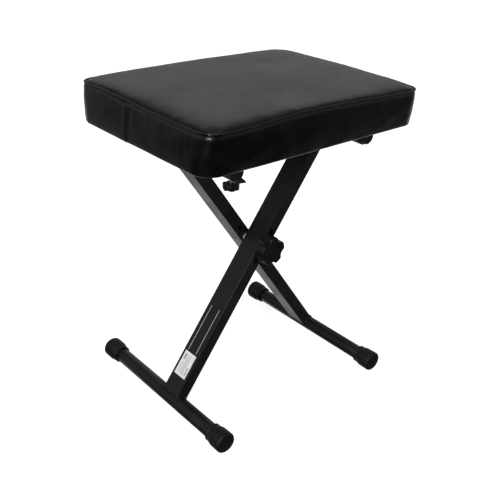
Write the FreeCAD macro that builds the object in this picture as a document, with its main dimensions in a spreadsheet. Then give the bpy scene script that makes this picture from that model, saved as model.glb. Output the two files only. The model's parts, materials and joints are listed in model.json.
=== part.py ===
# Folding keyboard bench: two rectangular legs cross on a pivot bolt, each welded to a
# round foot tube below and a round cross tube above, and carry a padded seat.
#
# Frame: millimetres, +Z up, origin on the floor under the middle of the seat.
# X runs along the seat's long side and Y along its depth. The front leg is the one on
# the -Y side: it rises from the left foot (-X) to the right cross tube (+X), and the
# rear leg mirrors it. The lock knob is on the front, -Y.
import FreeCAD, Part
import math
import os
import re
import Sketcher

doc = FreeCAD.newDocument("keyboard_bench")

# ---------------------------------------------------------------- driving sizes, mm
SIZES = {
    # legs
    "leg_angle": 54.2,            # degrees above the floor
    "lower_length": 299.0,        # pivot to foot tube axis
    "upper_length": 232.0,        # pivot to cross tube axis
    "leg_depth": 40.0,            # section along Y
    "leg_thickness": 22.4,        # section across the leg
    "leg_wall": 1.5,
    "leg_corner": 2.0,            # outside corner radius of the section
    "leg_gap": 3.2,               # between the two legs, filled by the spacer
    "leg_shift": 2.6,             # of the pair of legs, towards the front
    "hole_pitch": 27.7,           # between the three height holes
    "vent_radius": 1.5,
    "vent_height": 33.0,          # from the foot tube axis, along the leg
    # round tubes
    "tube_radius": 12.7,
    "tube_wall": 1.5,
    "foot_half": 165.0,
    "cross_half": 125.5,
    "foot_vent": 111.5,           # vent hole in a foot tube, from the middle
    # rubber foot caps
    "foot_axis": 17.5,            # height of the foot tube axis
    "cap_end": 168.8,
    "cap_length": 36.0,
    "cap_collar": 15.0,
    "cap_lip": 15.6,
    "cap_belly": 17.5,
    "cap_radius": 17.8,
    "cap_dimple": 9.5,
    # pivot
    "bolt_radius": 4.0,
    "hole_radius": 4.25,
    "washer_thickness": 1.6,
    "front_washer": 12.0,
    "rear_washer": 8.5,
    "spacer_radius": 9.0,
    "head_flats": 13.0,
    "head_height": 5.3,
    "play": 0.2,                  # axial play beside each turning piece
    # lock knob
    "knob_radius": 24.4,
    "knob_length": 23.0,
    "knob_scoop": 4.8,            # depth between its lobes
    "knob_bore": 17.5,
    "knob_nut_depth": 6.8,
    "knob_phase": 14.0,           # of its lobes, degrees
    # seat
    "seat_length": 427.0,
    "seat_depth": 325.0,
    "seat_corner": 30.0,
    "seam_height": 59.8,          # from the underside of the seat to the seam
    "crown": 12.5,
    "shoulder": 46.0,             # how far the crown's curve reaches inwards
    "cover_thickness": 1.2,
    "cover_turn": 27.0,           # vinyl turned under the board
    "welt_radius": 1.6,
    "welt_inset": 1.2,
    "board_thickness": 12.0,
    "board_inset": 5.0,
    "foam_inset": 3.6,
    "dust_thickness": 0.6,
    "dust_inset": 13.0,
    "staple_length": 10.0,
    "staple_wire": 0.5,
    "staple_inset": 19.0,
    "staple_pitch": 34.0,
    # steel fittings under the seat
    "plate": 2.0,
    "fit": 0.3,                   # around the cross tubes
    "strap_width": 26.0,
    "strap_station": 108.0,       # middle of a hinge strap, from the middle of the seat
    "strap_reach": 31.0,
    "strap_screw": 22.5,
    "screw_radius": 2.0,
    "screw_head": 4.2,
    "screw_length": 11.0,
    "saddle_width": 40.0,
    "saddle_station": 96.0,
    "saddle_drop": 4.0,           # from the tube down to the shelf
    "saddle_reach": 25.0,         # from the tube axis to the outer edge
    "saddle_screw": 19.0,
    "saddle_screw_pitch": 22.0,
    "shelf": 15.0,                # the saddle's inner shelf
    "shelf_width": 28.0,
    "stud_station": 92.0,
    "stud_offset": 19.9,          # from the tube axis to the thumb screw
    "stud_radius": 2.5,
    "nut_flats": 8.0,
    "nut_height": 4.0,
    "latch_width": 17.0,
    "latch_length": 33.0,
    "latch_angle": 16.0,          # swung back from the seat's depth, degrees
    "thumb_radius": 12.4,
    "thumb_thickness": 8.0,
    "thumb_drop": 10.5,           # bare stud between latch plate and thumb knob
    # printed parts on the front leg
    "label_length": 43.0,
    "label_width": 28.0,
    "label_foot": 40.0,           # from the foot tube axis to the label
    "label_thickness": 0.2,
    "stripe_length": 84.0,
    "stripe_width": 1.0,
    "stripe_spacing": 20.0,
    "stripe_foot": 86.0,
}

sheet = doc.addObject("Spreadsheet::Sheet", "Sizes")
for row, (alias, size) in enumerate(SIZES.items(), start=1):
    sheet.set(f"A{row}", alias)
    sheet.set(f"B{row}", str(size))
    sheet.setAlias(f"B{row}", alias)
doc.recompute()

# Places that follow from the sizes, written as expressions over the sheet.
FOOT_X = "(lower_length * cos(leg_angle))"
CROSS_X = "(upper_length * cos(leg_angle))"
PIVOT_Z = "(foot_axis + lower_length * sin(leg_angle))"
CROSS_Z = f"({PIVOT_Z} + upper_length * sin(leg_angle))"
PLATE_Z = f"({CROSS_Z} + tube_radius + fit)"
SEAT_Z = f"({PLATE_Z} + plate)"
SHELF_Z = f"({CROSS_Z} - tube_radius - saddle_drop)"
STUD_X = f"(stud_offset - {CROSS_X})"
FRONT_FACE_Y = "(leg_shift + leg_gap / 2 + leg_depth)"
REAR_FACE_Y = "(leg_gap / 2 + leg_depth - leg_shift)"

parts = []


# ---------------------------------------------------------------- document helpers
def cells(text):
    """Turn size names in an expression into references to the sheet."""
    return re.sub(r"[a-z_]+", lambda m: f"Sizes.{m[0]}" if m[0] in SIZES else m[0], str(text))


def value(text):
    """Work out an expression over the sheet as a number."""
    result = sheet.evalExpression(cells(text))
    return float(getattr(result, "Value", result))


def bind(obj, **expressions):
    for name, text in expressions.items():
        obj.setExpression(name, cells(text))
    return obj


def place(obj, x="0", y="0", z="0", axis=(0, 0, 1), turn="0"):
    """Put an object at a place worked out from the sheet, turned about an axis."""
    turned = FreeCAD.Rotation(FreeCAD.Vector(*axis), value(turn))
    obj.Placement = FreeCAD.Placement(FreeCAD.Vector(value(x), value(y), value(z)), turned)
    for name, text in (("x", x), ("y", y), ("z", z)):
        obj.setExpression(f".Placement.Base.{name}", cells(text))
    return obj


def sub_part(obj, label):
    """Register an object as one piece of the bench, under the name of its file."""
    obj.Label = label
    parts.append(obj)
    return obj


# ---------------------------------------------------------------- Part primitives
def box(length, width, height, x, y, z):
    obj = doc.addObject("Part::Box", "box")
    bind(obj, Length=length, Width=width, Height=height)
    return place(obj, x, y, z)


def cylinder(radius, height, x, y, z, axis="Z"):
    obj = doc.addObject("Part::Cylinder", "cylinder")
    bind(obj, Radius=radius, Height=height)
    lay = {"Z": ((0, 0, 1), "0"), "Y": ((1, 0, 0), "-90")}
    return place(obj, x, y, z, *lay[axis])


def hexagon(flats, height, x, y, z, axis="Z"):
    obj = doc.addObject("Part::Prism", "hexagon")
    obj.Polygon = 6
    bind(obj, Circumradius=f"{flats} / sqrt(3)", Height=height)
    lay = {"Z": ((0, 0, 1), "0"), "Y": ((1, 0, 0), "-90")}
    return place(obj, x, y, z, *lay[axis])


def fuse(*shapes):
    obj = doc.addObject("Part::MultiFuse", "fuse")
    obj.Shapes = list(shapes)
    obj.Refine = True
    return obj


def cut(base, *tools):
    obj = doc.addObject("Part::Cut", "cut")
    obj.Base = base
    obj.Tool = tools[0] if len(tools) == 1 else fuse(*tools)
    obj.Refine = True
    return obj


def group(*shapes):
    obj = doc.addObject("Part::Compound", "group")
    obj.Links = list(shapes)
    return obj


# ---------------------------------------------------------------- PartDesign helpers
def new_body(label):
    body = doc.addObject("PartDesign::Body", "body")
    return sub_part(body, label)


def origin_item(body, role):
    return next(item for item in body.Origin.OriginFeatures if item.Role == role)


def new_sketch(body, role, offset="0"):
    sketch = body.newObject("Sketcher::SketchObject", "sketch")
    sketch.AttachmentSupport = [(origin_item(body, role), "")]
    sketch.MapMode = "FlatFace"
    sketch.AttachmentOffset.Base.z = value(offset)
    sketch.setExpression(".AttachmentOffset.Base.z", cells(offset))
    return sketch


def pin_point(sketch, geometry, point, x, y):
    """Hold a sketch point at a place given by two expressions."""
    for kind, text in (("DistanceX", x), ("DistanceY", y)):
        rule = Sketcher.Constraint(kind, -1, 1, geometry, point, value(text))
        index = sketch.addConstraint(rule)
        sketch.setExpression(f"Constraints[{index}]", cells(text))


def polygon(sketch, corners):
    """Draw a closed outline whose corners are pairs of expressions."""
    spots = [FreeCAD.Vector(value(x), value(y), 0) for x, y in corners]
    first = sketch.GeometryCount
    count = len(spots)
    for i in range(count):
        sketch.addGeometry(Part.LineSegment(spots[i], spots[(i + 1) % count]), False)
    for i in range(count):
        rule = Sketcher.Constraint("Coincident", first + i, 2, first + (i + 1) % count, 1)
        sketch.addConstraint(rule)
        pin_point(sketch, first + i, 1, *corners[i])
    return sketch


def rectangle(sketch, left, right, low, high):
    return polygon(sketch, [(left, low), (right, low), (right, high), (left, high)])


def circle(sketch, x, y, radius):
    centre = FreeCAD.Vector(value(x), value(y), 0)
    ring = Part.Circle(centre, FreeCAD.Vector(0, 0, 1), value(radius))
    index = sketch.addGeometry(ring, False)
    pin_point(sketch, index, 3, x, y)
    rule = sketch.addConstraint(Sketcher.Constraint("Radius", index, value(radius)))
    sketch.setExpression(f"Constraints[{rule}]", cells(radius))
    return sketch


def pad(body, sketch, length, midplane=False, reverse=False):
    feature = body.newObject("PartDesign::Pad", "pad")
    feature.Profile = sketch
    feature.SideType = "Symmetric" if midplane else "One side"
    feature.Reversed = reverse
    bind(feature, Length=length)
    doc.recompute()
    return feature


def pocket(body, sketch, depth, midplane=False, reverse=False):
    """Cut a sketch into the body and make sure that it took something away."""
    before = body.Shape.Volume
    feature = body.newObject("PartDesign::Pocket", "pocket")
    feature.Profile = sketch
    feature.SideType = "Symmetric" if midplane else "One side"
    feature.Reversed = reverse
    bind(feature, Length=depth)
    doc.recompute()
    if body.Shape.Volume > before - 0.01:
        raise RuntimeError(f"a pocket in {body.Label} cuts nothing")
    return feature


def revolve(body, sketch, role):
    feature = body.newObject("PartDesign::Revolution", "revolution")
    feature.Profile = sketch
    feature.ReferenceAxis = (origin_item(body, role), [""])
    feature.Angle = 360
    doc.recompute()
    return feature


def polar(body, feature, count):
    """Repeat a feature about the body's own Z axis."""
    pattern = body.newObject("PartDesign::PolarPattern", "pattern")
    pattern.Originals = [feature]
    pattern.Axis = (origin_item(body, "Z_Axis"), [""])
    pattern.Angle = 360
    pattern.Occurrences = count
    body.Tip = pattern
    doc.recompute()
    return pattern


def fillet(body, radius, wanted):
    """Round every edge of the body's tip for which wanted(edge) holds."""
    base = body.Tip
    edges = [f"Edge{i}" for i, edge in enumerate(base.Shape.Edges, 1) if wanted(edge)]
    feature = body.newObject("PartDesign::Fillet", "fillet")
    feature.Base = (base, edges)
    bind(feature, Radius=radius)
    doc.recompute()
    return feature


def runs_along(edge, axis, shortest=1.0):
    """Tell whether an edge is straight and parallel to an axis."""
    if not isinstance(edge.Curve, Part.Line) or edge.Length < shortest:
        return False
    return abs(abs(edge.Curve.Direction.dot(axis)) - 1) < 1e-6


X_AXIS = FreeCAD.Vector(1, 0, 0)
Y_AXIS = FreeCAD.Vector(0, 1, 0)
Z_AXIS = FreeCAD.Vector(0, 0, 1)


# ---------------------------------------------------------------- legs and tubes
def leg(label, side, turn):
    """A coped rectangular tube, built with its pivot at the origin and its top along +X.

    side is -1 for the front leg and +1 for the rear one.
    """
    body = new_body(label)
    start = "(tube_radius / 2 - lower_length)"
    length = "(lower_length + upper_length - tube_radius)"
    section = new_sketch(body, "YZ_Plane", start)
    rectangle(section, "-leg_depth / 2", "leg_depth / 2", "-leg_thickness / 2", "leg_thickness / 2")
    pad(body, section, length)
    fillet(body, "leg_corner", lambda edge: runs_along(edge, X_AXIS))

    bore = new_sketch(body, "YZ_Plane", start)
    half_depth = "(leg_depth / 2 - leg_wall)"
    half_thickness = "(leg_thickness / 2 - leg_wall)"
    rectangle(bore, f"-{half_depth}", half_depth, f"-{half_thickness}", half_thickness)
    pocket(body, bore, f"2 * {length}", midplane=True)

    copes = new_sketch(body, "XZ_Plane")
    circle(copes, "-lower_length", "0", "tube_radius")
    circle(copes, "upper_length", "0", "tube_radius")
    pocket(body, copes, "2 * leg_depth", midplane=True)

    holes = new_sketch(body, "XZ_Plane")
    for step in (-1, 0, 1):
        circle(holes, f"{step} * hole_pitch", "0", "hole_radius")
    pocket(body, holes, "2 * leg_depth", midplane=True)

    vent = new_sketch(body, "XY_Plane", f"{-side} * leg_thickness")
    circle(vent, "vent_height - lower_length", "0", "vent_radius")
    pocket(body, vent, "leg_thickness", reverse=side > 0)
    centre = f"{side} * (leg_gap + leg_depth) / 2 - leg_shift"
    return place(body, y=centre, z=PIVOT_Z, axis=(0, 1, 0), turn=turn)


def round_tube(label, half, x, z, vent=None):
    """A straight round tube along Y, with an optional vent hole in its top."""
    body = new_body(label)
    section = new_sketch(body, "XZ_Plane")
    circle(section, "0", "0", "tube_radius")
    circle(section, "0", "0", "tube_radius - tube_wall")
    pad(body, section, f"2 * {half}", midplane=True)
    if vent:
        hole = new_sketch(body, "XY_Plane", "2 * tube_radius")
        circle(hole, "0", f"-{vent}", "vent_radius")
        pocket(body, hole, "2 * tube_radius")
    return place(body, x=x, z=z)


def foot_cap(label, x, turn):
    """A rubber cap: collar on the tube, flaring to a rounded end with a small floor flat."""
    body = new_body(label)
    inner = "(cap_end - cap_length)"
    profile = new_sketch(body, "XY_Plane")
    polygon(profile, [
        ("0", "foot_half + fit"),
        ("tube_radius", "foot_half + fit"),
        ("tube_radius", inner),
        ("cap_collar", inner),
        ("cap_lip", f"{inner} + 0.7"),
        ("cap_lip", f"{inner} + 3.2"),
        ("cap_collar", f"{inner} + 4.2"),
        ("cap_belly", f"{inner} + 14"),
        ("cap_radius", f"{inner} + 26"),
        ("cap_radius", "cap_end"),
        ("cap_dimple", "cap_end"),
        ("cap_dimple - 0.8", "cap_end - 0.9"),
        ("0", "cap_end - 0.9"),
    ])
    revolve(body, profile, "Y_Axis")
    rim = value("cap_radius")
    end = value("cap_end")
    fillet(body, "4", lambda edge: isinstance(edge.Curve, Part.Circle)
           and abs(edge.Curve.Radius - rim) < 1e-6 and abs(edge.Curve.Center.y - end) < 1e-6)
    floor = new_sketch(body, "XY_Plane", "-foot_axis")
    rectangle(floor, "-cap_radius", "cap_radius", inner, "cap_end + 1")
    pocket(body, floor, "cap_radius")
    return place(body, x=x, z="foot_axis", turn=turn)


def tube_plug(label, x, turn):
    """A plastic plug: a head with a bevelled rim on a spigot that fills the tube's end."""
    body = new_body(label)
    profile = new_sketch(body, "XY_Plane")
    spigot = "(tube_radius - tube_wall - 0.1)"
    polygon(profile, [
        ("0", "cross_half - 14"),
        (f"{spigot} - 1", "cross_half - 14"),
        (spigot, "cross_half - 12"),
        (spigot, "cross_half"),
        ("tube_radius", "cross_half"),
        ("tube_radius", "cross_half + 1.6"),
        ("tube_radius - 1.6", "cross_half + 3"),
        ("0", "cross_half + 3"),
    ])
    revolve(body, profile, "Y_Axis")
    return place(body, x=x, z=CROSS_Z, turn=turn)


def frames():
    leg("front_leg", -1, "-leg_angle")
    leg("rear_leg", 1, "leg_angle - 180")
    round_tube("left_foot_tube", "foot_half", f"-{FOOT_X}", "foot_axis", "foot_vent")
    round_tube("right_foot_tube", "foot_half", FOOT_X, "foot_axis", "foot_vent")
    round_tube("right_cross_tube", "cross_half", CROSS_X, CROSS_Z)
    round_tube("left_cross_tube", "cross_half", f"-{CROSS_X}", CROSS_Z)
    for side, sign in (("left", "-"), ("right", "")):
        for end, turn in (("front", "180"), ("rear", "0")):
            foot_cap(f"{side}_{end}_foot_cap", f"{sign}{FOOT_X}", turn)
            tube_plug(f"{side}_{end}_tube_plug", f"{sign}{CROSS_X}", turn)


# ---------------------------------------------------------------- pivot
def ring(label, outer, inner, thickness, y):
    body = cut(cylinder(outer, thickness, "0", y, PIVOT_Z, "Y"),
               cylinder(inner, thickness, "0", y, PIVOT_Z, "Y"))
    return sub_part(body, label)


def pivot():
    """The bolt from the rear, its washers, and the spacer between the legs."""
    head = f"({REAR_FACE_Y} + washer_thickness)"
    tip = f"({FRONT_FACE_Y} + washer_thickness + play + knob_bore - 1.5)"
    bolt = fuse(cylinder("bolt_radius", f"{tip} + {head}", "0", f"-{tip}", PIVOT_Z, "Y"),
                hexagon("head_flats", "head_height", "0", head, PIVOT_Z, "Y"))
    sub_part(bolt, "pivot_bolt")
    ring("rear_washer", "rear_washer", "hole_radius", "washer_thickness", REAR_FACE_Y)
    ring("front_washer", "front_washer", "hole_radius", "washer_thickness",
         f"-{FRONT_FACE_Y} - washer_thickness")
    ring("pivot_spacer", "spacer_radius", "hole_radius", "leg_gap - play",
         "-leg_shift - leg_gap / 2")


# ---------------------------------------------------------------- knobs
def star_head(body, radius, thickness, start, lobes, depth, phase="0"):
    """Pad a disc and scoop it between its lobes, depth below its rim."""
    disc = new_sketch(body, "XY_Plane", start)
    circle(disc, "0", "0", radius)
    pad(body, disc, thickness)
    scoop = new_sketch(body, "XY_Plane", f"{start} + {thickness} + 1")
    swing = f"({360 / lobes / 2} + {phase})"
    reach = f"({radius} * 1.45 - {depth})"
    circle(scoop, f"{reach} * cos({swing})", f"{reach} * sin({swing})", f"{radius} * 0.45")
    notch = pocket(body, scoop, f"{thickness} + 1")
    polar(body, notch, lobes)


def lock_knob():
    """The deep star knob on the pivot bolt, built with its base at the origin."""
    body = new_body("lock_knob")
    star_head(body, "knob_radius", "knob_length", "0", 5, "knob_scoop", "knob_phase")
    fillet(body, "2.4", lambda edge: runs_along(edge, Z_AXIS, 5.0))
    face = value("knob_length")
    fillet(body, "1.6", lambda edge: abs(edge.BoundBox.ZMin - face) < 1e-6
           and abs(edge.BoundBox.ZMax - face) < 1e-6)
    bore = new_sketch(body, "XY_Plane", "knob_bore")
    circle(bore, "0", "0", "hole_radius")
    pocket(body, bore, "knob_bore")
    seat = new_sketch(body, "XY_Plane", "knob_nut_depth + 0.5")
    corner = "(head_flats / sqrt(3) + 0.05)"
    polygon(seat, [(f"{corner} * cos({60 * k})", f"{corner} * sin({60 * k})") for k in range(6)])
    pocket(body, seat, "knob_nut_depth + 0.5")
    base_y = f"-({FRONT_FACE_Y} + washer_thickness + play)"
    place(body, y=base_y, z=PIVOT_Z, axis=(1, 0, 0), turn="90")

    nut_y = f"{base_y} - knob_nut_depth - 0.4"
    nut = cut(hexagon("head_flats", "knob_nut_depth", "0", nut_y, PIVOT_Z, "Y"),
              cylinder("bolt_radius + 0.05", "knob_nut_depth", "0", nut_y, PIVOT_Z, "Y"))
    sub_part(nut, "lock_knob_nut")


def thumb_screw(end, sign):
    """A moulded star knob on a threaded stud that hangs below the latch plate."""
    knob = new_body(f"{end}_thumb_knob")
    star_head(knob, "thumb_radius", "thumb_thickness", "0", 6, 1.8)
    collar = new_sketch(knob, "XY_Plane", "thumb_thickness")
    circle(collar, "0", "0", "stud_radius + 2.4")
    pad(knob, collar, "2")
    bore = new_sketch(knob, "XY_Plane", "thumb_thickness + 2")
    circle(bore, "0", "0", "stud_radius + 0.02")
    pocket(knob, bore, "thumb_thickness - 1")
    y = f"{sign} * stud_station"
    latch_base = f"({SHELF_Z} - fit - plate)"
    top = f"({latch_base} - thumb_drop)"
    place(knob, x=STUD_X, y=y, z=f"{top} - thumb_thickness - 2")
    foot = f"({top} - thumb_thickness + 1.2)"
    stud = cylinder("stud_radius", f"{SHELF_Z} + plate + nut_height + 4 - {foot}", STUD_X, y, foot)
    sub_part(stud, f"{end}_thumb_stud")


# ---------------------------------------------------------------- seat fittings
def screw(x, y, seat_z, head_up):
    """A wood screw driven upwards; its head is a raised disc or a flush cone."""
    shank = cylinder("screw_radius", "screw_length", x, y, seat_z)
    if head_up:
        head = cylinder("screw_head", "2.2", x, y, f"{seat_z} - 2.2")
        slots_z = f"{seat_z} - 2.2"
    else:
        head = doc.addObject("Part::Cone", "cone")
        bind(head, Radius1="screw_head", Radius2="screw_radius", Height="plate")
        place(head, x, y, seat_z)
        slots_z = seat_z
    slot = box("screw_head", "0.9", "1.1", f"{x} - screw_head / 2", f"{y} - 0.45", slots_z)
    cross = box("0.9", "screw_head", "1.1", f"{x} - 0.45", f"{y} - screw_head / 2", slots_z)
    return cut(fuse(shank, head), slot, cross)


def hinge_strap(end, sign):
    """A steel strap bent under the right cross tube, so that the seat turns about it."""
    low_y = f"({sign} * strap_station - strap_width / 2)"
    outer = "(tube_radius + fit + plate)"
    inner = "(tube_radius + fit)"
    height = f"({SEAT_Z} - {CROSS_Z})"
    flange = box("2 * strap_reach", "strap_width", "plate",
                 f"{CROSS_X} - strap_reach", low_y, PLATE_Z)
    walls = box(f"2 * {outer}", "strap_width", height, f"{CROSS_X} - {outer}", low_y, CROSS_Z)
    bend = cylinder(outer, "strap_width", CROSS_X, low_y, CROSS_Z, "Y")
    gap = box(f"2 * {inner}", "strap_width", height, f"{CROSS_X} - {inner}", low_y, CROSS_Z)
    hollow = cylinder(inner, "strap_width", CROSS_X, low_y, CROSS_Z, "Y")
    y = f"{sign} * strap_station"
    holes = [cylinder("screw_radius + 0.2", "plate", f"{CROSS_X} {way} strap_screw", y, PLATE_Z)
             for way in "-+"]
    strap = cut(fuse(flange, walls, bend), gap, hollow, *holes)
    sub_part(strap, f"{end}_hinge_strap")


def saddle(end, sign):
    """An open steel saddle over the left cross tube, with a shelf for the latch plate."""
    low_y = f"({sign} * saddle_station - saddle_width / 2)"
    cheek_x = f"(tube_radius + fit - {CROSS_X})"
    base = box("saddle_reach + tube_radius + fit + plate", "saddle_width", "plate",
               f"-{CROSS_X} - saddle_reach", low_y, PLATE_Z)
    stud_y = f"{sign} * stud_station"
    cheek = doc.addObject("Part::Wedge", "cheek")
    bind(cheek, Xmin="0", Xmax="plate", X2min="0", X2max="plate",
         Ymin="0", Ymax=f"{SEAT_Z} - {SHELF_Z}",
         Zmin=f"-{stud_y} - shelf_width / 2", Zmax=f"-{stud_y} + shelf_width / 2",
         Z2min=f"-{sign} * saddle_station - saddle_width / 2",
         Z2max=f"-{sign} * saddle_station + saddle_width / 2")
    place(cheek, cheek_x, "0", SHELF_Z, axis=(1, 0, 0), turn="90")
    shelf = box("shelf", "shelf_width", "plate", cheek_x, f"({stud_y} - shelf_width / 2)", SHELF_Z)
    bore = cylinder("stud_radius + fit", "plate", STUD_X, stud_y, SHELF_Z)
    y = f"{sign} * saddle_station"
    sinks = []
    for way in "-+":
        cone = doc.addObject("Part::Cone", "cone")
        bind(cone, Radius1="screw_head + 0.05", Radius2="screw_radius + 0.05", Height="plate")
        place(cone, f"-{CROSS_X} - saddle_screw", f"{y} {way} saddle_screw_pitch / 2", PLATE_Z)
        sinks.append(cone)
    sub_part(cut(fuse(base, cheek, shelf), bore, *sinks), f"{end}_saddle")

    nut_z = f"({SHELF_Z} + plate)"
    nut = cut(hexagon("nut_flats", "nut_height", STUD_X, stud_y, nut_z),
              cylinder("stud_radius + 0.05", "nut_height", STUD_X, stud_y, nut_z))
    sub_part(nut, f"{end}_weld_nut")


def latch_plate(end, sign):
    """The swinging plate that keeps the left cross tube in its saddle."""
    body = new_body(f"{end}_latch_plate")
    outline = new_sketch(body, "XY_Plane")
    half = "(latch_width / 2)"
    rectangle(outline, f"-{half}", "latch_length", f"-{half}", half)
    pad(body, outline, "plate")
    fillet(body, "5", lambda edge: runs_along(edge, Z_AXIS) and edge.CenterOfMass.x < 0)
    fillet(body, "1.5", lambda edge: runs_along(edge, Z_AXIS) and edge.CenterOfMass.x > 0)
    hole = new_sketch(body, "XY_Plane", "plate")
    circle(hole, "0", "0", "stud_radius + fit")
    pocket(body, hole, "plate")
    turn = f"{sign} * (90 + latch_angle)"
    place(body, x=STUD_X, y=f"{sign} * stud_station", z=f"{SHELF_Z} - fit - plate", turn=turn)


def screw_spots():
    """Where screws enter the board, as pairs of expressions, with the kind of head."""
    spots = []
    for sign in (-1, 1):
        for way in "-+":
            spots.append((f"({CROSS_X} {way} strap_screw)", f"({sign} * strap_station)", True))
            y = f"({sign} * saddle_station {way} saddle_screw_pitch / 2)"
            spots.append((f"(-{CROSS_X} - saddle_screw)", y, False))
    return spots


def fittings():
    for end, sign in (("front", -1), ("rear", 1)):
        hinge_strap(end, sign)
        saddle(end, sign)
        latch_plate(end, sign)
        thumb_screw(end, sign)
    pan = [screw(x, y, PLATE_Z, True) for x, y, raised in screw_spots() if raised]
    flush = [screw(x, y, PLATE_Z, False) for x, y, raised in screw_spots() if not raised]
    sub_part(group(*pan), "strap_screws")
    sub_part(group(*flush), "saddle_screws")


# ---------------------------------------------------------------- seat
def rounded_wire(inset, height):
    """The seat's outline pulled in by inset, at a height above the seat's underside."""
    half_x = value("seat_length / 2") - inset
    half_y = value("seat_depth / 2") - inset
    radius = max(value("seat_corner") - 0.6 * inset, 8)
    z = value(SEAT_Z) + height
    edges = []
    for quarter in range(4):
        start = math.radians(90 * quarter)
        middle = start + math.radians(45)
        finish = start + math.radians(90)
        sign_x = 1 if quarter in (0, 3) else -1
        sign_y = 1 if quarter in (0, 1) else -1
        centre = FreeCAD.Vector(sign_x * (half_x - radius), sign_y * (half_y - radius), z)
        arc = [centre + FreeCAD.Vector(radius * math.cos(angle), radius * math.sin(angle), 0)
               for angle in (start, middle, finish)]
        if edges:
            edges.append(Part.LineSegment(edges[-1].lastVertex().Point, arc[0]).toShape())
        edges.append(Part.Arc(*arc).toShape())
    edges.append(Part.LineSegment(edges[-1].lastVertex().Point,
                                  edges[0].firstVertex().Point).toShape())
    return Part.Wire(edges)


def slab(inset, low, high):
    """An upright block on the seat's outline, between two heights."""
    face = Part.Face(rounded_wire(inset, low))
    return face.extrude(FreeCAD.Vector(0, 0, high - low))


def cushion(inset, low, steps=6):
    """The seat's body: straight walls up to the seam and a crown curving in above it."""
    seam = value("seam_height")
    rise = value("crown") - inset
    wires = []
    for step in range(steps):
        angle = math.radians(90 * step / (steps - 1))
        pulled = inset + value("shoulder") * (1 - math.cos(angle))
        wires.append(rounded_wire(pulled, seam + rise * math.sin(angle)))
    crown = Part.makeLoft(wires, True, True)
    return slab(inset, low, seam).fuse(crown).removeSplitter()


def coded(label, shape):
    """A sub-part whose shape is worked out in code from the sheet."""
    feature = doc.addObject("Part::Feature", label)
    feature.Shape = shape
    feature.Placement = FreeCAD.Placement()
    return sub_part(feature, label)


def screw_holes(radius, low, high):
    """Upright cylinders at the screws, between two heights above the seat's underside."""
    base = value(SEAT_Z) + low
    spots = [FreeCAD.Vector(value(x), value(y), base) for x, y, _ in screw_spots()]
    return [Part.makeCylinder(radius, high - low, spot) for spot in spots]


def staples():
    """Wire crowns pressed flat on the dust cover, evenly round its edge."""
    half_x = value("seat_length / 2 - staple_inset")
    half_y = value("seat_depth / 2 - staple_inset")
    wire = value("staple_wire")
    length = value("staple_length")
    z = value(SEAT_Z) - wire
    crowns = []
    for along, across, turned in ((half_x, half_y, False), (half_y, half_x, True)):
        reach = along - value("staple_pitch") / 2
        count = int(2 * reach / value("staple_pitch"))
        for i in range(count + 1):
            at = -reach + 2 * reach * i / count
            for sign in (-1, 1):
                size = (2 * wire, length) if turned else (length, 2 * wire)
                spot = (sign * across, at) if turned else (at, sign * across)
                corner = FreeCAD.Vector(spot[0] - size[0] / 2, spot[1] - size[1] / 2, z)
                crowns.append(Part.makeBox(size[0], size[1], wire, corner))
    return Part.makeCompound(crowns)


def seat():
    dust = value("dust_thickness")
    skin = value("cover_thickness")
    board_low = dust + skin
    board_high = board_low + value("board_thickness")
    seam = value("seam_height")
    path = rounded_wire(value("welt_inset"), seam)
    start = path.Edges[0].firstVertex().Point
    round_section = Part.Wire(Part.makeCircle(value("welt_radius"), start, Y_AXIS))
    welt = path.makePipeShell([round_section], True, False)
    coded("seat_welt", welt)

    outside = cushion(0, dust)
    inside = cushion(skin, board_low)
    opening = slab(value("cover_turn"), dust - 1, board_low + 1)
    coded("seat_cover", outside.cut(inside).cut(opening).cut(welt))

    board = slab(value("board_inset"), board_low, board_high)
    pilots = screw_holes(value("screw_radius + 0.05"), board_low, board_high)
    coded("seat_board", board.cut(Part.makeCompound(pilots)))
    coded("seat_foam", cushion(value("foam_inset"), board_high))

    dust_cover = slab(value("dust_inset"), 0, dust)
    passes = screw_holes(value("screw_radius + 0.3"), 0, dust)
    coded("dust_cover", dust_cover.cut(Part.makeCompound(passes)))
    coded("staples", staples())


# ---------------------------------------------------------------- printed parts
def on_leg(obj, low, offset):
    """Lay a thin piece on the front leg's upper face, low above the foot tube axis."""
    normal = "(leg_thickness / 2)"
    y = f"{offset} - (leg_gap + leg_depth) / 2 - leg_shift"
    x = f"({low} - lower_length) * cos(leg_angle) - {normal} * sin(leg_angle)"
    z = f"{PIVOT_Z} + ({low} - lower_length) * sin(leg_angle) + {normal} * cos(leg_angle)"
    return place(obj, x, y, z, axis=(0, 1, 0), turn="-leg_angle")


def prints():
    label = doc.addObject("Part::Box", "label")
    bind(label, Length="label_length", Width="label_width", Height="label_thickness")
    sub_part(on_leg(label, "label_foot", "-label_width / 2"), "leg_label")
    stripes = []
    for sign in (-1, 1):
        stripe = doc.addObject("Part::Box", "stripe")
        bind(stripe, Length="stripe_length", Width="stripe_width", Height="label_thickness / 2")
        offset = f"{sign} * stripe_spacing / 2 - stripe_width / 2"
        stripes.append(on_leg(stripe, "stripe_foot", offset))
    sub_part(group(*stripes), "leg_stripes")


# ---------------------------------------------------------------- build, check, export
def check():
    doc.recompute()
    for obj in doc.Objects:
        if "Invalid" in obj.State or "Error" in obj.State:
            raise RuntimeError(f"{obj.Label} failed: {obj.State}")
    for obj in parts:
        if obj.Shape.isNull() or not obj.Shape.isValid() or not obj.Shape.Solids:
            raise RuntimeError(f"{obj.Label} has no valid solid")


def export():
    os.makedirs("parts", exist_ok=True)
    for obj in parts:
        obj.Shape.exportStep(f"parts/{obj.Label}.step")


frames()
pivot()
lock_knob()
fittings()
seat()
prints()
check()
export()
print(f"{len(parts)} sub-parts written")
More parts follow.
